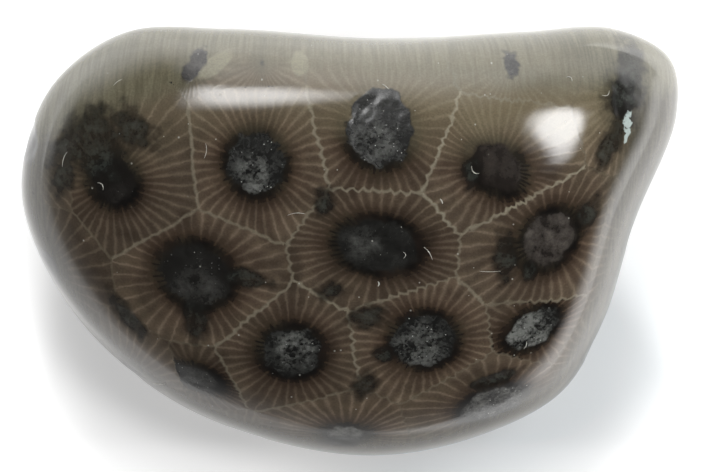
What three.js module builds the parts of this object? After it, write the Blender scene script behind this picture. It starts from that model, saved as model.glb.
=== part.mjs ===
// A polished head of fossil colony coral: one tumbled pebble of stone, lying on its worn flat underside.
//
// Frame: millimetres, +Z up, +X along the longest side, origin under the middle of the pebble on the
// plane it rests on. +Y points to the slightly hollow long side.
//
// The pebble is star shaped about its vertical axis. Every ray from that axis runs out to the waist
// outline, and the crown and the underside close over it with a full, superelliptic shoulder.

import * as THREE from 'three';

// Driving dimensions, mm.
const LENGTH = 54.0;
const WIDTH = 35.3;
const HEIGHT = 20.0;
const WAIST_HEIGHT = 8.6;

// The underside would close this far below the waist. The resting flat cuts it off at z = 0.
const UNDERSIDE_DEPTH = 9.3;

// How square the shoulders are: 2 is an ellipse, larger is flatter on top with a tighter shoulder.
const CROWN_FULLNESS = 2.9;
const UNDERSIDE_FULLNESS = 2.6;

// Near the axis the level lines are a plain oval. They take on the outline's corners towards the waist.
const OVAL_HALF_LENGTH = 25.0;
const OVAL_HALF_WIDTH = 17.6;

// The waist outline, anticlockwise from the blunt left end, before it is fitted to LENGTH and WIDTH.
const WAIST_POINTS = [
  [-27.0, 5.0],
  [-25.8, -0.6],
  [-21.5, -7.4],
  [-14.5, -13.2],
  [-6.0, -16.6],
  [2.0, -17.7],
  [9.9, -16.3],
  [17.3, -12.5],
  [20.8, -6.5],
  [23.4, 1.7],
  [26.8, 10.2],
  [26.3, 14.9],
  [21.6, 17.45],
  [14.0, 17.2],
  [2.5, 16.6],
  [-10.0, 17.4],
  [-18.5, 17.1],
  [-24.6, 12.6],
];

// Facets: columns round the waist, and rows from the top to the waist and on down to the flat.
const COLUMNS = 88;
const CROWN_ROWS = 22;
const UNDERSIDE_ROWS = 14;

// The outline as evenly spaced points on one closed smooth curve, fitted to the length and width.
function waistOutline() {
  const points = WAIST_POINTS.map(([x, y]) => new THREE.Vector3(x, y, 0));
  const curve = new THREE.CatmullRomCurve3(points, true, 'centripetal');
  const outline = curve.getSpacedPoints(COLUMNS).slice(0, COLUMNS);
  const box = new THREE.Box3().setFromPoints(outline);
  const middle = box.getCenter(new THREE.Vector3());
  const size = box.getSize(new THREE.Vector3());
  const fit = new THREE.Vector3(LENGTH / size.x, WIDTH / size.y, 1);
  return outline.map((point) => point.sub(middle).multiply(fit));
}

// Distance from the axis at a given share of the way out, along the ray to one waist point.
function reach(waistPoint, share) {
  const rim = Math.hypot(waistPoint.x, waistPoint.y);
  const oval = rim / Math.hypot(waistPoint.x / OVAL_HALF_LENGTH, waistPoint.y / OVAL_HALF_WIDTH);
  return share * (oval + (rim - oval) * share * share);
}

// A point of the profile, as a share of the way out and a share of the way up or down.
// The angle is zero at the waist and a right angle on the axis.
function profile(angle, fullness) {
  const out = Math.cos(angle);
  const up = Math.sin(angle);
  const scale = (out ** fullness + up ** fullness) ** (-1 / fullness);
  return { out: out * scale, up: up * scale };
}

// Rows of the surface from just below the top down to the edge of the resting flat.
function surfaceRows() {
  const rows = [];
  const rightAngle = Math.PI / 2;
  for (let row = 1; row <= CROWN_ROWS; row += 1) {
    const { out, up } = profile(rightAngle * (1 - row / CROWN_ROWS), CROWN_FULLNESS);
    rows.push({ share: out, height: WAIST_HEIGHT + up * (HEIGHT - WAIST_HEIGHT) });
  }
  const flatUp = WAIST_HEIGHT / UNDERSIDE_DEPTH;
  const flatOut = (1 - flatUp ** UNDERSIDE_FULLNESS) ** (1 / UNDERSIDE_FULLNESS);
  const flatAngle = Math.atan2(flatUp, flatOut);
  for (let row = 1; row < UNDERSIDE_ROWS; row += 1) {
    const { out, up } = profile((flatAngle * row) / UNDERSIDE_ROWS, UNDERSIDE_FULLNESS);
    rows.push({ share: out, height: WAIST_HEIGHT - up * UNDERSIDE_DEPTH });
  }
  rows.push({ share: flatOut, height: 0 });
  return rows;
}

// The whole pebble as one closed skin: a fan at the top, bands between rows and a fan across the flat.
function pebbleGeometry() {
  const outline = waistOutline();
  const rows = surfaceRows();
  const positions = [0, 0, HEIGHT];
  for (const { share, height } of rows) {
    for (const point of outline) {
      const distance = reach(point, share) / Math.hypot(point.x, point.y);
      positions.push(point.x * distance, point.y * distance, height);
    }
  }
  const top = 0;
  const bottom = positions.length / 3;
  positions.push(0, 0, 0);

  const vertex = (row, column) => 1 + row * COLUMNS + (column % COLUMNS);
  const lastRow = rows.length - 1;
  const triangles = [];
  for (let column = 0; column < COLUMNS; column += 1) {
    triangles.push(top, vertex(0, column), vertex(0, column + 1));
    for (let row = 0; row < lastRow; row += 1) {
      const a = vertex(row, column);
      const b = vertex(row + 1, column);
      const c = vertex(row + 1, column + 1);
      const d = vertex(row, column + 1);
      triangles.push(a, b, c, a, c, d);
    }
    triangles.push(bottom, vertex(lastRow, column + 1), vertex(lastRow, column));
  }

  const geometry = new THREE.BufferGeometry();
  geometry.setAttribute('position', new THREE.Float32BufferAttribute(positions, 3));
  geometry.setIndex(triangles);
  geometry.computeVertexNormals();
  return geometry;
}

// Polished limestone: grey-brown fossil coral with a wet-looking gloss.
const coralStone = new THREE.MeshStandardMaterial({
  color: 0x50463a,
  roughness: 0.16,
  metalness: 0.0,
});

const coralHead = new THREE.Mesh(pebbleGeometry(), coralStone);
coralHead.name = 'coral_head';

const group = new THREE.Group();
group.add(coralHead);

export default group;
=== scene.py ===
import math
from collections import namedtuple
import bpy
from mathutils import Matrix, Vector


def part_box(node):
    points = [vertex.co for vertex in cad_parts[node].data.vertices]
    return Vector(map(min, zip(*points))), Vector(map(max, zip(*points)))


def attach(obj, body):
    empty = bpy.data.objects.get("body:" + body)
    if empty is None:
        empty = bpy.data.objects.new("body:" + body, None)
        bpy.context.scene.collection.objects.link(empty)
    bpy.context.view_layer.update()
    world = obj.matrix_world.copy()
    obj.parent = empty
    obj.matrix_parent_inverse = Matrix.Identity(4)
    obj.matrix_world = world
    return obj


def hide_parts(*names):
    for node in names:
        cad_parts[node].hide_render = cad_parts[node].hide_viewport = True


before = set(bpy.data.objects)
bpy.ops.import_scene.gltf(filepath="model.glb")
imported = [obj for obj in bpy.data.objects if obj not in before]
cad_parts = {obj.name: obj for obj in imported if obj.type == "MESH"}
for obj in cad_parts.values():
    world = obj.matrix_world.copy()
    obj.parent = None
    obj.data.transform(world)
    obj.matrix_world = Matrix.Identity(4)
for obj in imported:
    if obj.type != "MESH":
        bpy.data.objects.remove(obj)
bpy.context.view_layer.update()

from types import SimpleNamespace

import bpy
import numpy as np
from mathutils import Vector, noise


# ------------------------------------------------------------------ the pebble
# One piece of a coral head, turned to limestone where it was buried, broken off, rolled round by
# water and then tumbled to a high polish. It lies loose on its worn underside.
# Lengths here are millimetres on the stone, and become metres when the mesh is made.

MM = 0.001
low, high = (np.array(corner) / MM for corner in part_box("coral_head"))
LENGTH, WIDTH, HEIGHT = high - low
WAIST_HEIGHT = 0.43 * HEIGHT
UNDERSIDE_DEPTH = 0.465 * HEIGHT
CROWN_FULLNESS = 2.9
UNDERSIDE_FULLNESS = 2.6
OVAL_HALF_LENGTH = 25.0
OVAL_HALF_WIDTH = 17.6

WAIST_POINTS = np.array([
    (-27.0, 5.0), (-25.8, -0.6), (-21.5, -7.4), (-14.5, -13.2), (-6.0, -16.6), (2.0, -17.7),
    (9.9, -16.3), (17.3, -12.5), (20.8, -6.5), (23.4, 1.7), (26.8, 10.2), (26.3, 14.9),
    (21.6, 17.45), (14.0, 17.2), (2.5, 16.6), (-10.0, 17.4), (-18.5, 17.1), (-24.6, 12.6),
])


def smooth_loop(corners, steps=40):
    """Points on one closed smooth curve through the corners."""
    count = len(corners)
    turns = np.linspace(0, 1, steps, endpoint=False)[:, None]
    stretches = []
    for first in range(count):
        a, b, c, d = (corners[(first + offset) % count] for offset in (-1, 0, 1, 2))
        legs = ((a, b), (b, c), (c, d))
        ab, bc, cd = (math.sqrt(np.linalg.norm(end - start)) for start, end in legs)
        leave = ((b - a) / ab - (c - a) / (ab + bc) + (c - b) / bc) * bc
        arrive = ((c - b) / bc - (d - b) / (bc + cd) + (d - c) / cd) * bc
        square = 3 * (c - b) - 2 * leave - arrive
        cube = 2 * (b - c) + leave + arrive
        stretches.append(b + leave * turns + square * turns ** 2 + cube * turns ** 3)
    return np.concatenate(stretches)


waist = smooth_loop(WAIST_POINTS)
waist_low, waist_high = waist.min(axis=0), waist.max(axis=0)
waist = (waist - (waist_low + waist_high) / 2) * (LENGTH, WIDTH) / (waist_high - waist_low)
waist_headings = np.arctan2(waist[:, 1], waist[:, 0])
waist_reach = np.hypot(waist[:, 0], waist[:, 1])


def reach(heading, share):
    """Distance from the stone's upright axis, at a share of the way out to the waist."""
    rim = np.interp(heading, waist_headings, waist_reach, period=2 * math.pi)
    oval = 1 / np.hypot(np.cos(heading) / OVAL_HALF_LENGTH, np.sin(heading) / OVAL_HALF_WIDTH)
    return share * (oval + (rim - oval) * share ** 2)


def profile(angle, fullness):
    """Share of the way out and up, on a shoulder seen from the side. The waist is at angle 0."""
    out, up = np.cos(angle), np.sin(angle)
    scale = (out ** fullness + up ** fullness) ** (-1 / fullness)
    return out * scale, up * scale


def crown_height(x, y):
    """Height of the polished crown over a place in plan."""
    nearly_all = 0.9999
    shares = np.linspace(0, nearly_all, 2000)
    share = np.interp(math.hypot(x, y), reach(math.atan2(y, x), shares), shares)
    up = (1 - share ** CROWN_FULLNESS) ** (1 / CROWN_FULLNESS)
    return WAIST_HEIGHT + (HEIGHT - WAIST_HEIGHT) * up


def box_skin(cells):
    """Points of a gridded box from -1 to 1 and its quads facing out. Cells counts them along x, y, z."""
    quads = []
    for axis in range(3):
        across, along = (axis + 1) % 3, (axis + 2) % 3
        i, j = np.meshgrid(np.arange(cells[across]), np.arange(cells[along]), indexing="ij")
        for side in (0, cells[axis]):
            ring = [(0, 0), (1, 0), (1, 1), (0, 1)]
            if side == 0:
                ring.reverse()
            quad = np.zeros((i.size, 4, 3), int)
            for corner, (step_across, step_along) in enumerate(ring):
                quad[:, corner, axis] = side
                quad[:, corner, across] = i.ravel() + step_across
                quad[:, corner, along] = j.ravel() + step_along
            quads.append(quad)
    points, order = np.unique(np.concatenate(quads).reshape(-1, 3), axis=0, return_inverse=True)
    return points / np.array(cells) * 2 - 1, order.reshape(-1, 4)


SKIN_CELLS = (184, 122, 86)


def pebble_skin():
    """The smooth worn skin of the stone, in millimetres, as points and quads."""
    points, quads = box_skin(SKIN_CELLS)
    aim = np.tan(points * math.pi / 4)
    heading = np.arctan2(aim[:, 1] * WIDTH, aim[:, 0] * LENGTH)
    angle = np.arctan2(np.abs(aim[:, 2]), np.hypot(aim[:, 0], aim[:, 1]))

    crown_out, crown_up = profile(angle, CROWN_FULLNESS)
    crown_z = WAIST_HEIGHT + crown_up * (HEIGHT - WAIST_HEIGHT)

    flat_up = WAIST_HEIGHT / UNDERSIDE_DEPTH
    flat_out = (1 - flat_up ** UNDERSIDE_FULLNESS) ** (1 / UNDERSIDE_FULLNESS)
    flat_angle = math.atan2(flat_up, flat_out)
    under_out, under_up = profile(np.minimum(angle, flat_angle), UNDERSIDE_FULLNESS)
    under_out *= np.minimum((math.pi / 2 - angle) / (math.pi / 2 - flat_angle), 1)
    under_z = WAIST_HEIGHT - under_up * UNDERSIDE_DEPTH

    upper = aim[:, 2] >= 0
    distance = reach(heading, np.where(upper, crown_out, under_out))
    z = np.where(upper, crown_z, under_z)
    skin = np.stack([distance * np.cos(heading), distance * np.sin(heading), z], axis=1)
    return np.clip(skin, low, high), quads


skin, quads = pebble_skin()

# How the colony grew: every coral cup is a column that spreads from one point deep under the stone.
# A place in the stone is named by where its column meets the level of the crown.
ROOT_POINT = np.array([-5.0, 45.0, -95.0])


def along_columns(points):
    """Growth place of each point: two coordinates across the columns and the height up them."""
    points = np.atleast_2d(points)
    spread = (HEIGHT - ROOT_POINT[2]) / (points[:, 2] - ROOT_POINT[2])
    across = ROOT_POINT[:2] + (points[:, :2] - ROOT_POINT[:2]) * spread[:, None]
    climb = np.linalg.norm(points - ROOT_POINT, axis=1)
    return np.column_stack([across, climb])


def on_crown(x, y):
    """Growth place of the crown's surface over a place in plan."""
    return along_columns((x, y, crown_height(x, y)))[0, :2]


# The cups. Place is the middle of the pit, on the crown in plan for those that show from above.
# Pit is its half length and half width, and turn the heading of the long one in degrees.
# Scallop is how far the wall bends in at each ray. Tone is how pale the cup is, and wall how strongly
# its wall shows.
Cup = namedtuple("Cup", "place pit turn rays scallop tone wall filling")

# What fills a pit: how light it is, its share of open crystals, its warmth, how deep it lies under the
# polish, and its palest patch, as a place seen from the pit's middle and a radius.
Filling = namedtuple("Filling", "light crystals warmth depth patch")

CROWN_CUPS = {
    "rear_left": Cup((-18.8, 4.8), (2.1, 2.0), 0, 41, 0.04, 0.86, 0.85,
                     Filling(0.14, 0.35, 0.5, 0.06, (0.4, -0.9, 0.8))),
    "left": Cup((-7.4, 6.1), (2.5, 2.4), 100, 40, 0.06, 1.14, 0.85,
                Filling(0.90, 0.90, 0.1, 0.12, (-0.1, -0.9, 1.4))),
    "rear_middle": Cup((2.4, 8.9), (3.0, 2.85), 90, 40, 0.18, 1.02, 1.0,
                       Filling(0.55, 1.00, 0.1, 0.12, (-0.4, -1.1, 1.9))),
    "right": Cup((11.6, 5.8), (2.6, 1.9), -40, 42, 0.13, 1.16, 1.1,
                 Filling(0.42, 0.00, 0.9, 0.00, (0.9, 0.5, 2.2))),
    "far_right": Cup((15.8, 0.1), (2.7, 2.2), 35, 35, 0.17, 1.00, 0.9,
                     Filling(1.00, 0.00, 0.8, 0.00, (-0.1, 0.0, 2.4))),
    "centre": Cup((2.2, -0.4), (3.4, 2.2), -8, 43, 0.18, 0.92, 0.85,
                  Filling(0.60, 0.10, 0.2, 0.00, (-1.1, 0.2, 1.3))),
    "lower_left": Cup((-12.2, -2.7), (3.1, 2.6), -20, 36, 0.06, 1.18, 0.8,
                      Filling(0.46, 0.20, 0.3, 0.03, (0.2, -1.2, 1.9))),
    "front_left": Cup((-4.6, -8.8), (2.5, 2.3), 0, 38, 0.10, 1.02, 0.95,
                      Filling(1.10, 0.80, 0.1, 0.12, (0.3, 0.4, 1.6))),
    "front_right": Cup((5.9, -7.9), (2.7, 2.35), 0, 40, 0.17, 1.28, 0.85,
                       Filling(0.72, 1.00, 0.1, 0.10, (-0.3, -0.5, 2.0))),
    "front_far_right": Cup((14.5, -7.0), (2.45, 1.65), 25, 34, 0.08, 1.10, 0.7,
                           Filling(1.35, 0.75, 0.1, 0.10, (-0.7, -0.2, 2.2))),
    "foot_left": Cup((-12.3, -10.9), (2.3, 1.3), -15, 38, 0.06, 0.85, 0.65,
                     Filling(0.35, 0.45, 0.3, 0.04, (0.3, -0.2, 1.4))),
    "foot_middle": Cup((-0.4, -15.6), (2.1, 1.4), 0, 38, 0.10, 1.25, 0.6,
                       Filling(1.00, 0.10, 0.3, 0.02, (0.2, 0.0, 1.6))),
    "foot_right": Cup((11.5, -13.1), (2.9, 2.0), 15, 34, 0.16, 1.10, 0.6,
                      Filling(0.80, 0.60, 0.3, 0.05, (0.0, 0.2, 2.6))),
    "back_left": Cup((-12.4, 14.0), (1.6, 0.8), 52, 36, 0.06, 1.00, 0.4,
                     Filling(0.40, 0.60, 0.6, 0.00, (0.4, 0.6, 1.4))),
    "back_notch": Cup((-7.0, 14.2), (0.4, 0.3), 90, 36, 0.06, 1.00, 0.4,
                      Filling(0.20, 0.10, 0.3, 0.00, (0.0, 0.0, 0.6))),
    "back_right": Cup((12.8, 14.2), (1.1, 0.9), 90, 36, 0.12, 1.25, 0.6,
                      Filling(0.35, 0.60, 0.4, 0.00, (0.0, 0.0, 1.0))),
    "back_corner": Cup((21.9, 11.6), (2.1, 1.3), 75, 38, 0.10, 1.45, 0.3,
                       Filling(0.30, 0.20, 0.4, 0.03, (0.2, 0.6, 1.6))),
    "left_end": Cup((-24.8, -2.0), (2.4, 2.0), 90, 38, 0.05, 0.85, 0.5,
                    Filling(0.20, 0.30, 0.4, 0.03, (0.0, 0.0, 1.5))),
}

# Cups that come out only on the sides and underneath, by growth place.
SIDE_PLACES = [
    (-28.5, 5.5), (-21.5, 17.5), (-19.5, -15.5), (-29.5, -14.0), (-9.0, -21.5), (-1.0, -29.0),
    (6.5, -25.0), (17.5, -22.5), (23.0, -13.5), (26.5, -3.5), (31.5, 6.5), (-4.5, 20.5), (5.0, 21.5),
    (20.5, 20.5), (30.5, 17.5), (-13.5, 21.0), (-26.0, 20.0), (-16.0, -26.5), (12.5, -32.0), (28.0, -22.0),
]


def side_cup(number, place):
    """A cup of middling looks, a little different each time."""
    mood = [noise.cell(Vector((number * 1.7, offset * 3.1, 0.5))) * 0.5 + 0.5 for offset in range(4)]
    pit = (2.1 + 0.6 * mood[0], 1.9 + 0.5 * mood[1])
    filling = Filling(0.15 + 0.35 * mood[2], 0.6 * mood[0], 0.4, 0.05 + 0.12 * mood[3], (0.0, 0.0, 1.5))
    return Cup(place, pit, 180 * mood[2], 42, 0.05 + 0.1 * mood[3], 0.92 + 0.15 * mood[1], 0.3, filling)


cups = {name: cup._replace(place=on_crown(*cup.place)) for name, cup in CROWN_CUPS.items()}
for number, place in enumerate(SIDE_PLACES):
    cups[f"side_{number + 1}"] = side_cup(number, np.array(place))

# Where walls meet on the crown, in plan, and the cups they part.
WALL_CORNERS = [
    ((-12.9, 11.2), "rear_left left back_left"),
    ((-12.1, 2.3), "rear_left left lower_left"),
    ((-5.3, -0.2), "left centre lower_left"),
    ((-1.6, 3.8), "left rear_middle centre"),
    ((-3.6, 12.3), "left rear_middle back_notch"),
    ((-11.6, 11.7), "left back_left back_notch"),
    ((-8.9, 13.9), "back_left back_notch"),
    ((-19.0, -1.4), "rear_left lower_left left_end"),
    ((-23.6, 4.4), "rear_left left_end"),
    ((-18.6, -5.0), "lower_left left_end"),
    ((-16.6, -7.7), "lower_left foot_left"),
    ((-10.9, -8.4), "lower_left foot_left front_left"),
    ((-4.6, -3.7), "lower_left centre front_left"),
    ((-0.1, -5.3), "centre front_left front_right"),
    ((-7.9, -13.6), "foot_left front_left foot_middle"),
    ((0.7, -11.6), "front_left front_right foot_middle"),
    ((3.4, -12.9), "front_right foot_middle foot_right"),
    ((5.0, -15.8), "foot_middle foot_right"),
    ((11.1, -9.5), "front_right foot_right front_far_right"),
    ((15.8, -9.5), "foot_right front_far_right"),
    ((11.1, -5.3), "front_right front_far_right far_right"),
    ((18.5, -4.2), "front_far_right far_right"),
    ((8.1, -3.0), "front_right far_right centre"),
    ((8.9, 0.3), "centre far_right right"),
    ((5.5, 3.8), "centre right rear_middle"),
    ((8.9, 11.6), "rear_middle right back_right"),
    ((7.6, 14.3), "rear_middle back_right"),
    ((17.9, 10.6), "right back_right back_corner"),
    ((18.4, 5.5), "right back_corner far_right"),
    ((21.6, 5.2), "back_corner far_right"),
]


# How strongly each wish pulls when the walls are laid: to pass through the corners, and to keep a cup's
# own place in the middle, for cups seen on the crown and for those on the sides.
CORNER_PULL = 0.05
CROWN_PULL = 0.12
SIDE_PULL = 2.0


def wall_planes():
    """One plane over the growth plane for each cup. The highest plane is the cup that owns a place,
    and walls stand where two planes cross, laid through the wall corners as nearly as they can be."""
    names = list(cups)
    rows, wanted = [], []

    def ask(terms, value, weight):
        row = np.zeros(3 * len(names))
        for name, (a, b, c) in terms:
            first = 3 * names.index(name)
            row[first:first + 3] += (a, b, c)
        rows.append(row * weight)
        wanted.append(value * weight)

    for place, meeting in WALL_CORNERS:
        u, v = on_crown(*place)
        first, *others = meeting.split()
        for other in others:
            ask([(first, (2 * u, 2 * v, -1)), (other, (-2 * u, -2 * v, 1))], 0, CORNER_PULL)
    for name in names:
        u, v = cups[name].place
        keep = CROWN_PULL if name in CROWN_CUPS else SIDE_PULL
        ask([(name, (1, 0, 0))], u, keep)
        ask([(name, (0, 1, 0))], v, keep)
        ask([(name, (-2 * u, -2 * v, 1))], -(u * u + v * v), 0.1 * keep)
    seeds = np.linalg.lstsq(np.array(rows), np.array(wanted), rcond=None)[0].reshape(-1, 3)
    return np.column_stack([2 * seeds[:, 0], 2 * seeds[:, 1], -seeds[:, 2]])


def pit_shape(cup):
    """How a pit stretches distances from its middle, so that a long pit comes out round."""
    long_half, short_half = cup.pit
    middle = math.sqrt(long_half * short_half)
    c, s = math.cos(math.radians(cup.turn)), math.sin(math.radians(cup.turn))
    ease_long, ease_short = middle / long_half, middle / short_half
    return (c * c * ease_long + s * s * ease_short,
            s * s * ease_long + c * c * ease_short,
            c * s * (ease_long - ease_short))


planes = wall_planes()
cup_list = list(cups.values())
fillings = [cup.filling for cup in cup_list]
cup_places = np.array([cup.place for cup in cup_list])
patches = np.array([filling.patch for filling in fillings])
cup_facts = {
    "plane": planes,
    "eye": np.array([(*cup.place, cup.rays) for cup in cup_list]),
    "shape": np.array([pit_shape(cup) for cup in cup_list]),
    "rim": np.array([(cup.scallop, math.sqrt(cup.pit[0] * cup.pit[1]), cup.tone) for cup in cup_list]),
    "wall": np.array([cup.wall for cup in cup_list]),
    "filling": np.array([(filling.light, filling.crystals, filling.warmth) for filling in fillings]),
    "patch": np.column_stack([cup_places + patches[:, :2], patches[:, 2]]),
}


def nearest_cups(growth, count=3):
    """For each growth place, the cups that own it or come closest to, best first."""
    ownership = growth[:, :2] @ planes[:, :2].T + planes[:, 2]
    return np.argsort(-ownership, axis=1)[:, :count]


def pit_distance(growth, owner):
    """Distance from the middle of the owner's pit, with the pit made round."""
    shape = cup_facts["shape"][owner]
    offset = growth[:, :2] - cup_places[owner]
    x = shape[:, 0] * offset[:, 0] + shape[:, 2] * offset[:, 1]
    y = shape[:, 2] * offset[:, 0] + shape[:, 1] * offset[:, 1]
    return np.hypot(x, y)


def step_between(value, start, end):
    """0 before start, 1 after end, eased between."""
    t = np.clip((value - start) / (end - start), 0, 1)
    return t * t * (3 - 2 * t)


def lumps(points, size, channel=0.0):
    """Soft random lumps about -1 to 1, that many millimetres across."""
    shift = Vector((channel * 17.3, channel * 5.1, channel * 9.7))
    return np.array([noise.noise(Vector(point) / size + shift) for point in points])


# Marks in the stone, in plan: place, half length, half width and heading of the long one.
STAINS = [
    ((-21.2, 8.2), 4.2, 1.9, 36),
    ((-17.2, 8.8), 2.2, 1.4, -25),
    ((-22.9, 5.2), 1.9, 1.2, 70),
    ((-19.9, 6.5), 2.6, 2.1, 0),
    ((-2.0, 3.1), 1.1, 0.9, 60),
    ((-1.6, -4.0), 1.1, 0.8, 0),
    ((1.5, -6.0), 1.7, 1.0, 10),
    ((1.2, -11.4), 1.5, 1.1, 60),
    ((2.6, -9.0), 1.0, 0.8, 0),
    ((-12.2, -6.2), 1.2, 2.0, 0),
    ((-8.0, -3.0), 2.5, 0.8, -10),
    ((12.4, -1.4), 1.1, 2.2, 0),
    ((18.9, 2.2), 1.0, 1.6, -30),
    ((22.2, 12.3), 3.8, 1.8, 68),
    ((20.7, 7.7), 2.4, 1.1, 60),
    ((-0.6, -16.2), 1.6, 0.9, 0),
    ((11.6, -11.0), 2.4, 0.7, 15),
    ((-17.6, -6.2), 0.9, 2.6, 35),
    ((9.6, 5.2), 0.9, 1.4, 0),
    ((14.2, -2.4), 0.7, 0.9, 0),
]
PALE_MARKS = [
    ((-10.8, 14.0), 1.9, 0.75, 32),
    ((-4.0, 14.1), 0.95, 0.85, 90),
]
CHALKY_MARKS = [
    ((22.2, 9.5), 1.1, 0.45, 88),
    ((22.05, 8.4), 0.9, 0.25, 80),
]


def mark_field(growth, marks):
    """1 in the middle of a mark, 0 at its edge and less outside."""
    field = np.full(len(growth), -1.0)
    for place, half_length, half_width, turn in marks:
        u, v = on_crown(*place)
        c, s = math.cos(math.radians(turn)), math.sin(math.radians(turn))
        du, dv = growth[:, 0] - u, growth[:, 1] - v
        along = (c * du + s * dv) / half_length
        across = (c * dv - s * du) / half_width
        field = np.maximum(field, 1 - np.hypot(along, across))
    return field


def add_values(mesh, name, domain, values):
    """Stores a number or a vector for each point or face of a mesh."""
    kind, field = ("FLOAT", "value") if values.ndim == 1 else ("FLOAT_VECTOR", "vector")
    attribute = mesh.attributes.new(name, kind, domain)
    attribute.data.foreach_set(field, np.ascontiguousarray(values, dtype=np.float32).ravel())


# Millimetres: how wide the slope round a pit is, how deep the stains are worn, and the heights between
# which both come in above the smooth underside.
PIT_SLOPE = 0.9
STAIN_DEPTH = 0.05
SMOOTH_FOOT = (1.0, 3.0)


def build_pebble():
    """The stone as one mesh, with its pits sunk in and its growth and cups stored on it."""
    mesh = bpy.data.meshes.new("coral_stone")
    mesh.from_pydata((skin * MM).tolist(), [], quads.tolist())
    mesh.update()
    normals = np.zeros(len(skin) * 3, dtype=np.float32)
    mesh.vertex_normals.foreach_get("vector", normals)
    normals = normals.reshape(-1, 3)

    growth = along_columns(skin)
    owner = nearest_cups(growth, 1)[:, 0]
    pit_radius = cup_facts["rim"][owner, 1]
    depth = np.array([filling.depth for filling in fillings])[owner]
    crystals = cup_facts["filling"][owner, 1]
    distance = pit_distance(growth, owner) + 0.22 * lumps(skin, 1.1)
    inside = 1 - step_between(distance, pit_radius - PIT_SLOPE, pit_radius - 0.05)
    uneven = 0.55 + 0.5 * lumps(skin, 1.6, 1) + 0.35 * crystals * lumps(skin, 0.55, 2)
    sink = depth * inside * np.clip(uneven, 0.0, 1.4)
    stained = mark_field(growth, STAINS) + 0.35 * lumps(skin, 1.2, 3)
    sink += STAIN_DEPTH * step_between(stained, 0.1, 0.6) * np.clip(0.5 + lumps(skin, 0.8, 4), 0, 1)
    sink *= step_between(skin[:, 2], *SMOOTH_FOOT)
    points = np.clip(skin - normals * sink[:, None], low, high)
    mesh.vertices.foreach_set("co", (points * MM).ravel())

    add_values(mesh, "growth", "POINT", growth)
    fields = [mark_field(growth, marks) for marks in (STAINS, PALE_MARKS, CHALKY_MARKS)]
    add_values(mesh, "marks", "POINT", np.column_stack(fields))
    face_growth = along_columns(skin[quads].mean(axis=1))
    ranking = nearest_cups(face_growth)
    for rank, title in enumerate(("near", "next", "third")):
        for fact in ("plane", "eye", "shape", "rim", "wall"):
            add_values(mesh, f"{title}_{fact}", "FACE", cup_facts[fact][ranking[:, rank]])
    for fact in ("filling", "patch"):
        add_values(mesh, f"near_{fact}", "FACE", cup_facts[fact][ranking[:, 0]])
    mesh.shade_smooth()
    mesh.update()
    pebble = bpy.data.objects.new("coral_stone", mesh)
    bpy.context.collection.objects.link(pebble)
    return pebble


coral_stone = build_pebble()


def paint(red, green, blue):
    """A colour given as 0 to 255 display values."""
    channels = [value / 255 for value in (red, green, blue)]
    return tuple(c / 12.92 if c <= 0.04045 else ((c + 0.055) / 1.055) ** 2.4 for c in channels) + (1.0,)


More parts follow.
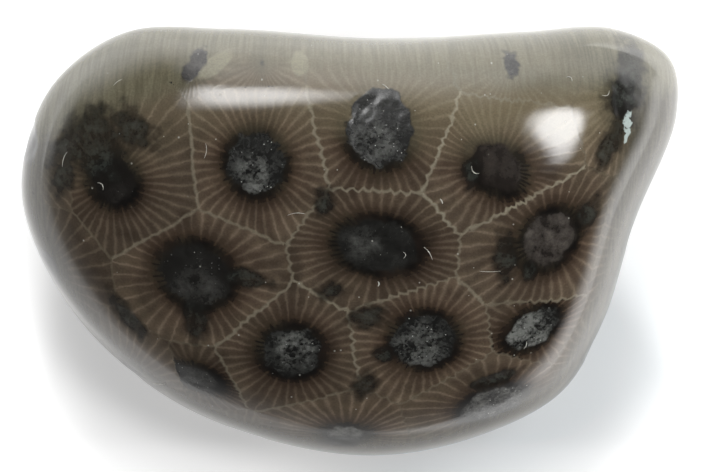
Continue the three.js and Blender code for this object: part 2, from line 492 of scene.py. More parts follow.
class Wiring:
    """Lays nodes in one shader tree. A feed is a number, a tuple or another node's output."""

    def __init__(self, tree):
        self.tree = tree

    def feed(self, socket, value):
        if isinstance(value, bpy.types.NodeSocket):
            self.tree.links.new(value, socket)
        else:
            socket.default_value = value

    def node(self, kind, feeds=None, **settings):
        made = self.tree.nodes.new(kind)
        for setting, value in settings.items():
            setattr(made, setting, value)
        for name, value in (feeds or {}).items():
            self.feed(made.inputs[name], value)
        return made

    def math(self, operation, *values, clamp=False):
        made = self.node("ShaderNodeMath", operation=operation, use_clamp=clamp)
        for socket, value in zip(made.inputs, values):
            self.feed(socket, value)
        return made.outputs[0]

    def times(self, first, second, plus=None, clamp=False):
        """First times second, with another number added where one is given."""
        if plus is None:
            return self.math("MULTIPLY", first, second, clamp=clamp)
        return self.math("MULTIPLY_ADD", first, second, plus)

    def minus(self, first, second):
        return self.math("SUBTRACT", first, second)

    def vector(self, operation, *values, scale=None):
        made = self.node("ShaderNodeVectorMath", operation=operation)
        for socket, value in zip(made.inputs, values):
            self.feed(socket, value)
        if scale is not None:
            self.feed(made.inputs["Scale"], scale)
        scalar = operation in ("DOT_PRODUCT", "LENGTH", "DISTANCE")
        return made.outputs["Value" if scalar else "Vector"]

    def ease(self, value, start, end, low_value=0.0, high_value=1.0):
        """low_value before start, high_value after end, eased between. Start may be the larger."""
        made = self.node("ShaderNodeMapRange", interpolation_type="SMOOTHSTEP")
        for socket, item in zip(made.inputs, (value, start, end, low_value, high_value)):
            self.feed(socket, item)
        return made.outputs[0]

    def mix(self, amount, first, second):
        """A colour between two colours."""
        made = self.node("ShaderNodeMix", data_type="RGBA")
        for index, value in ((0, amount), (6, first), (7, second)):
            self.feed(made.inputs[index], value)
        return made.outputs[2]

    def blend(self, amount, first, second):
        """A plain number between two numbers."""
        made = self.node("ShaderNodeMix", data_type="FLOAT")
        for index, value in ((0, amount), (2, first), (3, second)):
            self.feed(made.inputs[index], value)
        return made.outputs[0]

    def stored(self, name):
        """What add_values keeps on the mesh, as Vector, or as Fac for a plain number."""
        return self.node("ShaderNodeAttribute", attribute_name=name, attribute_type="GEOMETRY").outputs

    def cells(self, place, scale, **settings):
        """Random cells, with scale of them to the millimetre: Distance from the middle, and Color."""
        feeds = {"Vector": place, "Scale": scale}
        return self.node("ShaderNodeTexVoronoi", feeds, feature="F1", **settings).outputs

    def split(self, vector):
        return self.node("ShaderNodeSeparateXYZ", {"Vector": vector}).outputs

    def join(self, x=0.0, y=0.0, z=0.0):
        return self.node("ShaderNodeCombineXYZ", {"X": x, "Y": y, "Z": z}).outputs[0]

    def cloud(self, place, scale, detail=2.0, roughness=0.5, output="Factor"):
        """Soft random noise, 0 to 1, with scale lumps to the millimetre."""
        feeds = {"Vector": place, "Scale": scale, "Detail": detail, "Roughness": roughness}
        made = self.node("ShaderNodeTexNoise", feeds, noise_dimensions="3D")
        return made.outputs[0 if output == "Factor" else 1]

    def shades(self, value, steps):
        """The colour for a value, from steps of value and 0 to 255 display colour."""
        made = self.node("ShaderNodeValToRGB", {"Fac": value})
        ramp = made.color_ramp
        ramp.interpolation = "EASE"
        while len(ramp.elements) < len(steps):
            ramp.elements.new(1.0)
        for element, (position, colour) in zip(ramp.elements, steps):
            element.position = position
            element.color = paint(*colour)
        return made.outputs["Color"]

    def use(self, group, **feeds):
        made = self.node("ShaderNodeGroup", node_tree=group)
        for name, value in feeds.items():
            self.feed(made.inputs[name.replace("_", " ")], value)
        return made


def new_group(name, inputs, outputs):
    """An empty shader group with float or vector sockets, its Wiring, and the sockets of its two ends."""
    group = bpy.data.node_groups.new(name, "ShaderNodeTree")
    kinds = {"float": "NodeSocketFloat", "vector": "NodeSocketVector"}
    for direction, sockets in (("INPUT", inputs), ("OUTPUT", outputs)):
        for title, kind in sockets.items():
            group.interface.new_socket(name=title, in_out=direction, socket_type=kinds[kind])
    wiring = Wiring(group)
    return group, wiring, wiring.node("NodeGroupInput").outputs, wiring.node("NodeGroupOutput").inputs


def cup_rays_group():
    """The thin plates that stand like spokes round one cup: how near a place is to the closest one."""
    group, w, given, result = new_group(
        "cup_rays",
        {"Place": "vector", "Eye": "vector", "Shape": "vector"},
        {title: "float" for title in ("Distance", "Cusp", "Off Ray", "Share", "Number", "Minor")})
    place, eye, shape = w.split(given["Place"]), w.split(given["Eye"]), w.split(given["Shape"])
    du = w.minus(place["X"], eye["X"])
    dv = w.minus(place["Y"], eye["Y"])
    x = w.times(shape["X"], du, w.times(shape["Z"], dv))
    y = w.times(shape["Z"], du, w.times(shape["Y"], dv))
    distance = w.math("SQRT", w.times(x, x, w.times(y, y)))
    heading = w.math("DIVIDE", w.math("ARCTAN2", y, x), 2 * math.pi)
    wander = w.minus(w.cloud(given["Place"], 0.3, 1.0), 0.5)
    tremble = w.minus(w.cloud(given["Place"], 1.6, 1.0), 0.5)
    count = w.times(heading, eye["Z"])
    count = w.times(wander, 0.7, count)
    count = w.times(tremble, 0.28, count)
    number = w.math("ROUND", count)
    off = w.math("ABSOLUTE", w.minus(count, number))
    cusp = w.minus(1.0, w.math("SINE", w.times(off, math.pi)))
    arc = w.math("DIVIDE", w.times(distance, 2 * math.pi), eye["Z"])
    minor = w.math("ABSOLUTE", w.math("MODULO", number, 2.0))
    off_ray = w.times(off, arc)
    for socket, value in zip(result, (distance, cusp, off_ray, off, number, minor)):
        w.feed(socket, value)
    return group


def cup_wall_group():
    """How far inside the wall to one neighbour a place lies. The wall bends in at each side's rays."""
    group, w, given, result = new_group(
        "cup_wall",
        {"Place": "vector", "Own Plane": "vector", "Other Plane": "vector",
         "Own Bend": "float", "Other Bend": "float"},
        {"Inside": "float"})
    gap = w.vector("SUBTRACT", given["Own Plane"], given["Other Plane"])
    lead = w.vector("DOT_PRODUCT", gap, given["Place"])
    steepness = w.vector("LENGTH", w.vector("MULTIPLY", gap, (1.0, 1.0, 0.0)))
    straight = w.math("DIVIDE", lead, w.math("MAXIMUM", steepness, 0.001))
    bent = w.math("ADD", w.minus(straight, given["Own Bend"]), given["Other Bend"])
    w.feed(result["Inside"], bent)
    return group


def hairlines_group():
    """Fine polishing scratches: long thin curved lines in three directions."""
    group, w, given, result = new_group(
        "hairlines", {"Place": "vector", "Amount": "float"}, {"Lines": "float"})
    drift = w.vector("SUBTRACT", w.cloud(given["Place"], 0.12, 1.0, output="Color"), (0.5, 0.5, 0.5))
    lines = None
    for turn, size in ((0.5, 1.0), (1.5, 1.35), (2.7, 0.8)):
        bent = w.vector("ADD", given["Place"], w.vector("SCALE", drift, scale=4.0))
        turned = w.node("ShaderNodeVectorRotate", {"Vector": bent, "Angle": turn}, rotation_type="Z_AXIS")
        drawn_out = w.vector("MULTIPLY", turned.outputs[0], (0.16 * size, 7.0 * size, 0.5 * size))
        ridge = w.math("ABSOLUTE", w.minus(w.cloud(drawn_out, 1.0, 0.0), 0.5))
        line = w.ease(ridge, w.times(given["Amount"], 0.012), 0.0)
        lines = line if lines is None else w.math("MAXIMUM", lines, line)
    broken = w.ease(w.cloud(given["Place"], 0.7, 1.0), 0.42, 0.6)
    w.feed(result["Lines"], w.times(lines, broken))
    return group


cup_rays = cup_rays_group()
cup_wall = cup_wall_group()
hairlines = hairlines_group()


# In millimetres: how far past the pit's edge a cup goes on growing paler, the way from one cross plate
# to the next, one unit of relief, the heights between which the flank sets in, and the distances to the
# rear between which the stone turns paler, and between which its edge turns paler still.
RAY_REACH = 3.5
RUNG_SPACING = 0.62
BUMP_STEP = 0.006
FLANK_HEIGHTS = (17.0, 14.4)
PALER_REAR = (8.4, 13.6)
PALE_EDGE_REAR = (11.4, 13.8)
# The roughness of the bare stone, and how strongly it bends light.
POLISH = 0.07
STONE_IOR = 1.62


def cup_fields(w, growth):
    """How each place lies to its cup's pit, rays and walls. A place over a scallop is its neighbour's."""
    sway = w.vector("SUBTRACT", w.cloud(growth, 0.5, 2.0, output="Color"), (0.5, 0.5, 0.5))
    level_growth = w.vector("MULTIPLY", growth, (1.0, 1.0, 0.0))
    swayed = w.vector("MULTIPLY_ADD", sway, (0.55, 0.55, 0.0), level_growth)
    plane_place = w.vector("ADD", swayed, (0.0, 0.0, 1.0))

    sides = []
    for title in ("near", "next", "third"):
        side = {fact: w.stored(f"{title}_{fact}")["Vector"] for fact in ("plane", "eye", "shape", "rim")}
        side["wall"] = w.stored(f"{title}_wall")["Fac"]
        side["rays"] = w.use(cup_rays, Place=growth, Eye=side["eye"], Shape=side["shape"]).outputs
        side["bend"] = w.times(side["rays"]["Cusp"], w.split(side["rim"])["X"])
        sides.append(side)
    near, neighbour, third = sides

    def inside(other):
        return w.use(cup_wall, Place=plane_place, Own_Plane=near["plane"], Other_Plane=other["plane"],
                     Own_Bend=near["bend"], Other_Bend=other["bend"]).outputs[0]

    inside_next, inside_third = inside(neighbour), inside(third)
    crossed = w.math("LESS_THAN", inside_next, 0.0)

    def owned(title):
        return w.blend(crossed, near["rays"][title], neighbour["rays"][title])

    rim = w.split(near["rim"])
    distance = owned("Distance")
    return SimpleNamespace(
        distance=distance,
        beyond_pit=w.minus(distance, rim["Y"]),
        tone=rim["Z"],
        off_ray=owned("Off Ray"),
        share=owned("Share"),
        minor=owned("Minor"),
        number=owned("Number"),
        wall_gap=w.math("MINIMUM", w.math("ABSOLUTE", inside_next), w.math("ABSOLUTE", inside_third)),
        wall_strength=w.math("ADD", near["wall"], neighbour["wall"]),
    )


def rays_in_stone(w, growth, cup, sway_end):
    """Brown stone, black round the pit and paler towards the wall, and the plates that stand in it."""
    ground = w.shades(w.math("DIVIDE", cup.beyond_pit, RAY_REACH), (
        (0.0, (10, 7, 5)),
        (0.05, (18, 13, 9)),
        (0.12, (36, 27, 19)),
        (0.22, (57, 45, 35)),
        (0.45, (75, 62, 50)),
        (1.0, (84, 72, 59)),
    ))
    patchy = w.cloud(growth, 0.35, 3.0)
    ground = w.mix(w.ease(patchy, 0.4, 0.75, 0.0, 0.35), ground, paint(82, 74, 58))

    # The rays: pale plates with soft edges. Their ends stand out of the black like teeth.
    ray_half = w.ease(cup.beyond_pit, -0.2, 2.4, 0.13, 0.19)
    ray_half = w.times(ray_half, w.ease(w.cloud(growth, 1.5, 1.0), 0.3, 0.7, 0.7, 1.25))
    plate = w.ease(cup.off_ray, ray_half, 0.0)
    halo = w.ease(cup.share, 0.46, 0.08)
    plate_share = w.ease(w.cloud(growth, 0.3, 2.0), 0.35, 0.65, 0.65, 0.95)
    ray = w.blend(plate_share, halo, plate)
    ray_end = w.math("ADD", cup.beyond_pit, w.times(sway_end, 0.5))
    ray_end = w.times(cup.minor, -0.25, ray_end)
    ray_colour = w.shades(w.math("DIVIDE", ray_end, RAY_REACH), (
        (0.0, (14, 10, 7)),
        (0.05, (35, 26, 18)),
        (0.12, (62, 50, 38)),
        (0.25, (88, 74, 61)),
        (0.50, (107, 94, 79)),
        (1.0, (117, 104, 88)),
    ))
    stone = w.mix(w.times(ray, 0.9), ground, ray_colour)

    # Thin curved cross plates between some of the rays.
    rung_count = w.times(cup.number, 0.37, w.math("DIVIDE", cup.distance, RUNG_SPACING))
    rung_count = w.times(w.cloud(growth, 0.9, 1.0), 2.0, rung_count)
    rung_phase = w.math("ABSOLUTE", w.minus(w.math("FRACT", rung_count), 0.5))
    rung = w.times(w.ease(rung_phase, 0.38, 0.5), w.ease(cup.beyond_pit, 0.7, 1.8))
    rung = w.times(rung, w.ease(w.cloud(growth, 0.8, 1.0), 0.45, 0.65))
    return w.mix(w.times(rung, 0.35), stone, paint(96, 86, 70)), ray


def walls_in_stone(w, growth, cup, stone):
    """The walls between cups, the palest lines of all, drawn into the stone's colour."""
    wall_half = w.ease(w.cloud(growth, 1.3, 1.0), 0.3, 0.7, 0.15, 0.22)
    wall_half = w.times(wall_half, w.ease(cup.wall_strength, 1.0, 2.1, 0.85, 1.25))
    wall = w.ease(cup.wall_gap, wall_half, 0.02)
    wall = w.times(wall, w.ease(w.cloud(growth, 0.3, 1.0), 0.3, 0.65, 0.7, 1.0))
    colour = w.mix(w.ease(cup.wall_strength, 1.2, 2.1), paint(106, 98, 82), paint(150, 143, 124))
    amount = w.times(wall, w.times(cup.wall_strength, 0.5), clamp=True)
    return w.mix(w.times(amount, 0.9), stone, colour), wall


def pit_filling(w, growth, cup):
    """Dark calcite in the pit, with grey shards and grains, and painted glints where crystals line it."""
    light, crystals, warmth = w.split(w.stored("near_filling")["Vector"])
    edge_noise = w.minus(w.cloud(growth, 0.9, 2.0), 0.5)
    beyond_edge = w.times(edge_noise, 1.3, cup.beyond_pit)
    in_pit = w.ease(beyond_edge, 0.0, w.blend(crystals, -0.55, -0.3))

    mottle = w.cloud(growth, 0.8, 5.0, 0.68)
    bending = w.vector("SCALE", w.cloud(growth, 2.0, 1.0, output="Color"), scale=0.35)
    shards = w.cells(w.vector("ADD", growth, bending), 1.7)
    grains = w.cells(growth, 5.0)
    shard_shade = w.minus(w.split(shards["Color"])["X"], 0.5)
    grain_shade = w.minus(w.split(grains["Color"])["X"], 0.5)
    broken = w.times(shard_shade, 0.18, w.times(grain_shade, 0.28))
    cloudy = w.times(broken, crystals, mottle)

    # The filling is lightest in one patch.
    here = w.split(growth)
    patch = w.split(w.stored("near_patch")["Vector"])
    from_patch = w.vector("DISTANCE", w.join(here["X"], here["Y"]), w.join(patch["X"], patch["Y"]))
    patch_edge = w.times(edge_noise, 0.9, w.math("DIVIDE", from_patch, patch["Z"]))
    lightness = w.times(light, w.ease(patch_edge, 1.3, 0.6, 0.2, 1.0))
    amount = w.times(w.ease(cloudy, 0.28, 0.78), lightness, clamp=True)
    dark_fill = w.mix(warmth, paint(18, 19, 17), paint(26, 20, 16))
    light_fill = w.mix(warmth, paint(118, 120, 116), paint(88, 79, 72))
    fill = w.mix(amount, dark_fill, light_fill)

    # Painted glints: near-white specks in the colour stand in for light caught on crystal faces.
    specks = w.cells(growth, 3.4)
    glint_pick = w.ease(w.split(specks["Color"])["X"], 0.8, 0.9)
    painted_glint = w.times(w.ease(specks["Distance"], 0.2, 0.08), glint_pick)
    fill = w.mix(w.times(painted_glint, w.times(crystals, 0.95)), fill, paint(212, 214, 208))
    return fill, in_pit, crystals, cloudy


def dust_on_polish(w, growth):
    """Tiny pale specks caught on the polish, in about one of fourteen cells a millimetre wide."""
    dust = w.cells(growth, 0.9, voronoi_dimensions="2D")
    chance = w.split(dust["Color"])
    speck_reach = w.times(chance["Z"], 0.07, 0.035)
    speck = w.ease(dust["Distance"], speck_reach, 0.02)
    return w.times(w.ease(chance["Y"], 0.92, 0.94), speck)


def polished_coral():
    """Grey-brown polished limestone, with the cups, rays, walls and filled pits of the colony in it."""
    material = bpy.data.materials.new("polished_coral")
    material.use_nodes = True
    tree = material.node_tree
    tree.nodes.clear()
    w = Wiring(tree)

    growth = w.stored("growth")["Vector"]
    across = w.split(growth)
    elsewhere = w.vector("ADD", growth, (31.0, 7.0, 0.0))
    place_mm = w.vector("SCALE", w.node("ShaderNodeTexCoord").outputs["Object"], scale=1 / MM)
    mm_parts = w.split(place_mm)
    sway_end = w.minus(w.cloud(growth, 1.2, 2.0), 0.5)
    cup = cup_fields(w, growth)
    stone, ray = rays_in_stone(w, growth, cup, sway_end)

    # Some of the stone is murky red-brown, and hides the rays.
    murk = w.ease(w.cloud(elsewhere, 0.27, 2.0), 0.52, 0.72, 0.0, 0.5)
    stone = w.mix(murk, stone, paint(47, 36, 28))
    uneven = w.ease(w.cloud(elsewhere, 0.45, 2.0), 0.3, 0.7, 0.82, 1.2)
    stone = w.vector("SCALE", stone, scale=w.times(cup.tone, uneven))

    # Towards the rear the whole stone turns paler.
    leftward = w.math("MAXIMUM", w.minus(-9.0, across["X"]), 0.0)
    rearward = w.times(across["X"], 0.085, across["Y"])
    rearward = w.times(leftward, 0.5, rearward)
    cloudy_rear = w.times(w.cloud(growth, 0.25, 2.0), 5.0, rearward)
    paler = w.times(w.ease(cloudy_rear, *PALER_REAR, 0.0, 0.66), w.ease(across["X"], -13.0, 12.0, 0.5, 1.3))
    stone = w.mix(paler, stone, paint(120, 110, 88))
    pale_ray = w.times(w.times(ray, paler), 0.35)
    stone = w.mix(pale_ray, stone, paint(140, 130, 108))
    stone, wall = walls_in_stone(w, growth, cup, stone)

    # Low on the flanks the cups are cut aslant and fade, painted as if washed out by the reflection there.
    rightward = w.math("MAXIMUM", w.minus(mm_parts["X"], 16.0), 0.0)
    shoulder = w.times(rightward, -0.22, mm_parts["Z"])
    flank = w.times(w.ease(shoulder, *FLANK_HEIGHTS), w.ease(mm_parts["Z"], 11.0, 6.0, 1.0, 0.6))
    upright = w.vector("MULTIPLY", growth, (3.4, 0.4, 0.05))
    streaky = w.ease(w.cloud(upright, 1.0, 2.0), 0.3, 0.7)
    flank_stone = w.mix(streaky, paint(58, 55, 46), paint(76, 73, 61))
    # Painted washout: plain streaky flank colour covers the cups where the bright reflection would hide
    # them.
    stone = w.mix(w.times(flank, 0.92), stone, flank_stone)
    # The rear edge is paler, with fine upright lines.
    pale_rear_edge = w.ease(w.times(sway_end, 1.2, rearward), *PALE_EDGE_REAR)
    pale_rear_edge_stone = w.mix(streaky, paint(90, 87, 70), paint(108, 105, 86))
    stone = w.mix(w.times(pale_rear_edge, 0.76), stone, pale_rear_edge_stone)

    marks = w.split(w.stored("marks")["Vector"])
    ragged = w.minus(w.cloud(growth, 0.8, 3.0), 0.5)
    pale = w.ease(w.times(ragged, 0.5, marks["Y"]), 0.0, 0.3)
    stone = w.mix(w.times(pale, 0.7), stone, paint(128, 124, 103))
    fill, in_pit, crystals, cloudy = pit_filling(w, growth, cup)
    stone = w.mix(in_pit, stone, fill)

    # Dark mineral stains with soft black-brown edges, greenish grey inside, and the chalky chip.
    stain = w.times(ragged, 1.5, marks["X"])
    stained = w.ease(stain, -0.3, 0.4)
    greenish = w.ease(w.cloud(growth, 1.3, 4.0, 0.7), 0.38, 0.66)
    stain_heart = w.times(w.ease(stain, 0.1, 0.8), greenish)
    stain_colour = w.mix(stain_heart, paint(18, 15, 11), paint(56, 60, 55))
    stone = w.mix(w.times(stained, 0.85), stone, stain_colour)
    crumbly = w.minus(w.cloud(growth, 2.4, 3.0, 0.6), 0.5)
    chalk = w.ease(w.times(crumbly, 1.8, marks["Z"]), 0.05, 0.3)
    stone = w.mix(w.times(chalk, 0.9), stone, paint(170, 184, 180))
    dusty = w.times(dust_on_polish(w, growth), w.minus(1.0, flank))
    stone = w.mix(w.times(dusty, 0.6), stone, paint(186, 186, 176))
    speckle = w.ease(w.cloud(growth, 6.0, 2.0, 0.7), 0.25, 0.75, 0.86, 1.14)
    stone = w.vector("SCALE", stone, scale=speckle)

    # Gloss: a high polish, duller in the pits and along fine scratches.
    scratches = w.use(hairlines, Place=place_mm, Amount=1.0).outputs[0]
    rough = w.times(in_pit, w.times(crystals, 0.12, 0.02), POLISH)
    rough = w.times(scratches, 0.05, rough)
    rough = w.times(stained, 0.02, rough)
    rough = w.times(w.math("MAXIMUM", chalk, dusty), 0.3, rough)

    height = w.times(w.times(ray, 0.1), w.minus(1.0, in_pit))
    height = w.times(wall, 0.15, height)
    height = w.times(scratches, -0.035, height)
    open_pit = w.times(in_pit, crystals)
    height = w.times(open_pit, w.times(cloudy, 2.5), height)
    bump = w.node("ShaderNodeBump", {"Strength": 1.0, "Distance": BUMP_STEP * MM, "Height": height})

    surface = w.node("ShaderNodeBsdfPrincipled", {
        "Base Color": stone,
        "Roughness": rough,
        "IOR": STONE_IOR,
        "Normal": bump.outputs[0],
    })
    w.node("ShaderNodeOutputMaterial", {"Surface": surface.outputs[0]})
    return material


coral_stone.data.materials.append(polished_coral())
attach(coral_stone, "root")
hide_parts("coral_head")


# ------------------------------------------------------------------ the lint
# Short pale threads of lint, some no more than a crumb, that settled on the polish and cling there.
# They lie along the stone and are no part of it.

# Each thread in plan: its start, a place it bends through, its end, and its radius.
THREADS = [
    ((-22.6, 7.1), (-23.0, 6.7), (-23.0, 5.9), 0.030),
    ((-18.9, 12.4), (-18.6, 12.8), (-18.2, 12.9), 0.024),
    ((-20.1, 4.6), (-19.5, 4.6), (-19.6, 4.0), 0.026),
    ((-11.5, 6.5), (-11.2, 7.1), (-11.4, 7.7), 0.018),
    ((-4.9, 2.0), (-4.2, 2.3), (-3.5, 2.1), 0.020),
    ((2.2, -3.2), (2.4, -3.4), (2.2, -3.6), 0.048),
    ((4.2, -0.9), (4.6, -1.1), (4.2, -1.4), 0.028),
    ((5.8, -0.5), (6.3, -0.8), (6.5, -1.5), 0.028),
    ((9.6, 5.9), (9.6, 5.2), (10.2, 5.3), 0.034),
    ((7.1, 3.3), (7.3, 3.1), (7.3, 2.9), 0.050),
    ((2.6, 12.4), (2.9, 12.2), (3.1, 12.0), 0.040),
    ((10.2, -2.4), (11.0, -2.5), (11.9, -2.4), 0.018),
    ((-15.9, -11.5), (-15.3, -11.6), (-14.8, -11.5), 0.024),
    ((20.1, 11.6), (20.7, 11.4), (20.7, 12.0), 0.022),
    ((13.8, -8.6), (14.1, -8.3), (14.0, -8.0), 0.034),
    ((17.2, 13.0), (17.7, 13.2), (17.7, 12.7), 0.024),
]
THREAD_STEPS = 10
THREAD_SIDES = 6


def thread_tube(start, bend, end, radius):
    """One thin round thread bent over the crown, tapered at both ends, as points and faces."""
    start, bend, end = (np.array(place) for place in (start, bend, end))
    turns = np.linspace(0, 1, THREAD_STEPS)[:, None]
    plan = start * (1 - turns) ** 2 + bend * 2 * turns * (1 - turns) + end * turns ** 2
    middle = np.array([(x, y, crown_height(x, y)) for x, y in plan])
    ahead = np.gradient(middle, axis=0)
    sideways = np.cross(ahead, (0.0, 0.0, 1.0))
    sideways /= np.linalg.norm(sideways, axis=1)[:, None]
    upward = np.cross(sideways, ahead)
    upward /= np.linalg.norm(upward, axis=1)[:, None]
    thickness = radius * (1 - 0.7 * np.abs(2 * turns - 1) ** 3)
    rings = []
    for side in range(THREAD_SIDES):
        angle = 2 * math.pi * side / THREAD_SIDES
        rings.append(middle + thickness * (math.cos(angle) * sideways + math.sin(angle) * upward))
    points = np.clip(np.stack(rings, axis=1).reshape(-1, 3), low, high)
    faces = []
    for step in range(THREAD_STEPS - 1):
        for side in range(THREAD_SIDES):
            a, b = step * THREAD_SIDES + side, step * THREAD_SIDES + (side + 1) % THREAD_SIDES
            faces.append((a, b, b + THREAD_SIDES, a + THREAD_SIDES))
    faces.append(tuple(reversed(range(THREAD_SIDES))))
    faces.append(tuple(range((THREAD_STEPS - 1) * THREAD_SIDES, THREAD_STEPS * THREAD_SIDES)))
    return points, faces


def build_lint():
    """All the threads as one mesh."""
    points, faces = [], []
    for thread in THREADS:
        tube_points, tube_faces = thread_tube(*thread)
        first = len(points)
        points.extend(tube_points * MM)
        faces.extend(tuple(first + index for index in face) for face in tube_faces)
    mesh = bpy.data.meshes.new("lint")
    mesh.from_pydata([tuple(point) for point in points], [], faces)
    mesh.shade_smooth()
    mesh.update()
    threads = bpy.data.objects.new("lint", mesh)
    bpy.context.collection.objects.link(threads)
    return threads


def lint_fibre():
    """Pale matt fibre, a little uneven along its length."""
    material = bpy.data.materials.new("lint_fibre")
    material.use_nodes = True
    tree = material.node_tree
    tree.nodes.clear()
    w = Wiring(tree)
    place_mm = w.vector("SCALE", w.node("ShaderNodeTexCoord").outputs["Object"], scale=1 / MM)
    uneven = w.ease(w.cloud(place_mm, 3.0, 2.0), 0.3, 0.7)
    surface = w.node("ShaderNodeBsdfPrincipled", {
        "Base Color": w.mix(uneven, paint(176, 174, 164), paint(226, 225, 216)),
        "Roughness": w.ease(uneven, 0.0, 1.0, 0.5, 0.75),
    })
    w.node("ShaderNodeOutputMaterial", {"Surface": surface.outputs[0]})
    return material


lint = build_lint()
lint.data.materials.append(lint_fibre())
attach(lint, "root")


# ------------------------------------------------------------------ the studio
# A pale sheet under soft light from above and behind, with the dark of the room overhead.
# The sheet's glow and its shadow are painted. None of it belongs to the stone.

# Painted glow on the sheet, brighter away from the stone: heading, from and to how far out, and how much.
FLOOR_GLOWS = (
    (-10, 0.022, 0.050, 1.5),
    (35, 0.0145, 0.0190, 0.27),
    (-90, 0.0165, 0.0185, 0.06),
    (85, 0.010, 0.050, 1.0),
    (172, 0.023, 0.028, 0.3),
    (195, 0.0243, 0.032, 0.3),
)
PAINTED_SHADOW_HEADING = -52


def build_floor():
    """A matt white sheet level with the foot of the stone, with a painted glow and a painted shadow."""
    half = 0.6
    corners = [(-half, -half, 0), (half, -half, 0), (half, half, 0), (-half, half, 0)]
    mesh = bpy.data.meshes.new("floor")
    mesh.from_pydata(corners, [], [(0, 1, 2, 3)])
    floor = bpy.data.objects.new("floor", mesh)
    bpy.context.collection.objects.link(floor)
    material = bpy.data.materials.new("white_sheet")
    material.use_nodes = True
    tree = material.node_tree
    surface = tree.nodes["Principled BSDF"]
    surface.inputs["Roughness"].default_value = 0.7
    surface.inputs["Specular IOR Level"].default_value = 0.2
    w = Wiring(tree)
    place = w.node("ShaderNodeTexCoord").outputs["Object"]
    glow = 0.4
    for heading, start, end, brightness in FLOOR_GLOWS:
        a = math.radians(heading)
        along = w.vector("DOT_PRODUCT", place, (math.cos(a), math.sin(a), 0.0))
        glow = w.math("ADD", glow, w.ease(along, start, end, 0.0, brightness))
    off_stone = w.vector("LENGTH", w.vector("DIVIDE", place, (LENGTH / 2 * MM, WIDTH / 2 * MM, 1.0)))
    # A painted shadow in front and to the right: the sheet is darker and a little bluish there, and glows
    # less.
    a = math.radians(PAINTED_SHADOW_HEADING)
    front_right = w.vector("DOT_PRODUCT", place, (math.cos(a), math.sin(a), 0.0))
    painted_shadow = w.times(w.ease(front_right, 0.010, 0.019), w.ease(off_stone, 1.5, 1.1))
    # Painted light: the sheet glows a little brighter a short way out from the stone, outside the painted
    # shadow.
    painted_glow_beside = w.times(w.ease(off_stone, 1.02, 1.2, 0.0, 0.22), w.minus(1.0, painted_shadow))
    glow = w.math("ADD", glow, w.times(painted_shadow, -0.08, painted_glow_beside))
    sheet = w.mix(painted_shadow, (0.72, 0.72, 0.72, 1.0), (0.63, 0.68, 0.71, 1.0))
    # Far off on the open side the sheet's colour and glow are painted darker, as painted shade from the dark
    # room.
    floor_parts = w.split(place)
    frontward = w.times(w.math("ABSOLUTE", floor_parts["X"]), 1.1, floor_parts["Y"])
    lit = w.ease(frontward, -0.25, -0.045, 0.4, 1.0)
    sheet = w.vector("SCALE", sheet, scale=lit)
    glow = w.times(glow, lit)
    w.feed(surface.inputs["Base Color"], sheet)
    surface.inputs["Emission Color"].default_value = (1.0, 1.0, 1.0, 1.0)
    w.feed(surface.inputs["Emission Strength"], glow)
    mesh.materials.append(material)


# The white walls round the table: heading and half width in degrees, sines of the elevations
# between which each fades out at its top, and brightness. The last is a dim screen on the open side.
WHITE_WALLS = (
    (-12, 40, 0.08, 0.42, 4.3),
    (35, 25, 0.35, 0.60, 2.6),
    (78, 24, 0.42, 0.88, 2.4),
    (112, 26, 0.05, 0.55, 2.5),
    (142, 22, 0.05, 0.35, 2.0),
    (195, 25, 0.00, 0.30, 1.5),
    (228, 24, 0.00, 0.22, 1.1),
    (300, 25, 0.00, 0.75, 0.40),
)
WALL_SOFTNESS = 14.0
CEILING = 0.08
OPEN_SIDE = 0.75

# The two lamps: heading, elevation and tilt in degrees, half length and half width in degrees, how soft
# the edge is, and brightness.
LAMPS = (
    (103.4, 46.6, 30.0, 9.6, 5.0, 0.60, 9.5),
    (34.2, 57.8, 0.0, 11.0, 5.4, 0.32, 14.0),
)


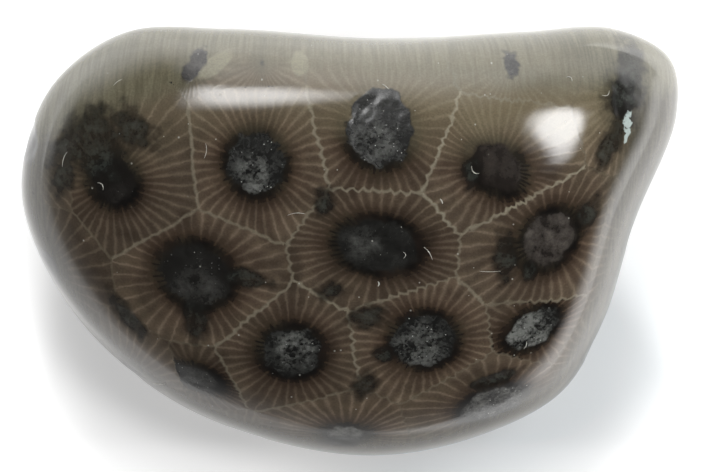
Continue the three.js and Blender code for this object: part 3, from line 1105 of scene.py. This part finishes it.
def room_light():
    """White walls on three sides of the table, an open side towards -Y and a dark ceiling."""
    world = bpy.data.worlds.new("room")
    bpy.context.scene.world = world
    world.use_nodes = True
    tree = world.node_tree
    tree.nodes.clear()
    w = Wiring(tree)
    aim = w.node("ShaderNodeTexCoord").outputs["Generated"]
    upness = w.split(aim)["Z"]
    level_aim = w.vector("NORMALIZE", w.vector("MULTIPLY", aim, (1.0, 1.0, 0.0)))
    level = w.ease(upness, -0.1, 0.55, OPEN_SIDE, CEILING)
    for heading, half_width, fade_from, fade_to, brightness in WHITE_WALLS:
        a = math.radians(heading)
        facing = w.vector("DOT_PRODUCT", level_aim, (math.cos(a), math.sin(a), 0.0))
        inner = math.cos(math.radians(half_width - WALL_SOFTNESS))
        outer = math.cos(math.radians(half_width + WALL_SOFTNESS))
        panel = w.times(w.ease(facing, outer, inner), w.ease(upness, fade_to, fade_from))
        level = w.math("MAXIMUM", level, w.times(panel, brightness))
    for heading, elevation, tilt, half_length, half_width, softness, brightness in LAMPS:
        a, e, t = (math.radians(angle) for angle in (heading, elevation, tilt))
        middle = Vector((math.cos(a) * math.cos(e), math.sin(a) * math.cos(e), math.sin(e)))
        level_way = Vector((-math.sin(a), math.cos(a), 0.0))
        upward = middle.cross(level_way)
        along = (level_way * math.cos(t) + upward * math.sin(t)) / math.sin(math.radians(half_length))
        across = (upward * math.cos(t) - level_way * math.sin(t)) / math.sin(math.radians(half_width))
        off = w.join(w.vector("DOT_PRODUCT", aim, tuple(along)), w.vector("DOT_PRODUCT", aim, tuple(across)))
        glow = w.ease(w.vector("LENGTH", off), 1.0 + softness, 1.0 - softness, 0.0, brightness)
        ahead = w.math("GREATER_THAN", w.vector("DOT_PRODUCT", aim, tuple(middle)), 0.0)
        level = w.times(glow, ahead, level)
    background = w.node("ShaderNodeBackground", {"Color": w.join(level, level, level), "Strength": 1.0})
    w.node("ShaderNodeOutputWorld", {"Surface": background.outputs[0]})


build_floor()
room_light()

# The camera looks straight down from high above the middle of the stone.
FOCAL_LENGTH = 150.0
SENSOR_WIDTH = 36.0
FRAME_WIDTH = 58.45
AIM_X, AIM_Y = 0.33, 0.37
camera_data = bpy.data.cameras.new("camera")
camera_data.lens = FOCAL_LENGTH
camera_data.sensor_width = SENSOR_WIDTH
camera_data.clip_start = 0.01
camera = bpy.data.objects.new("camera", camera_data)
bpy.context.collection.objects.link(camera)
camera_height = WAIST_HEIGHT + FRAME_WIDTH * FOCAL_LENGTH / SENSOR_WIDTH
camera.location = (AIM_X * MM, AIM_Y * MM, camera_height * MM)
bpy.context.scene.camera = camera
bpy.context.scene.view_settings.view_transform = "Standard"
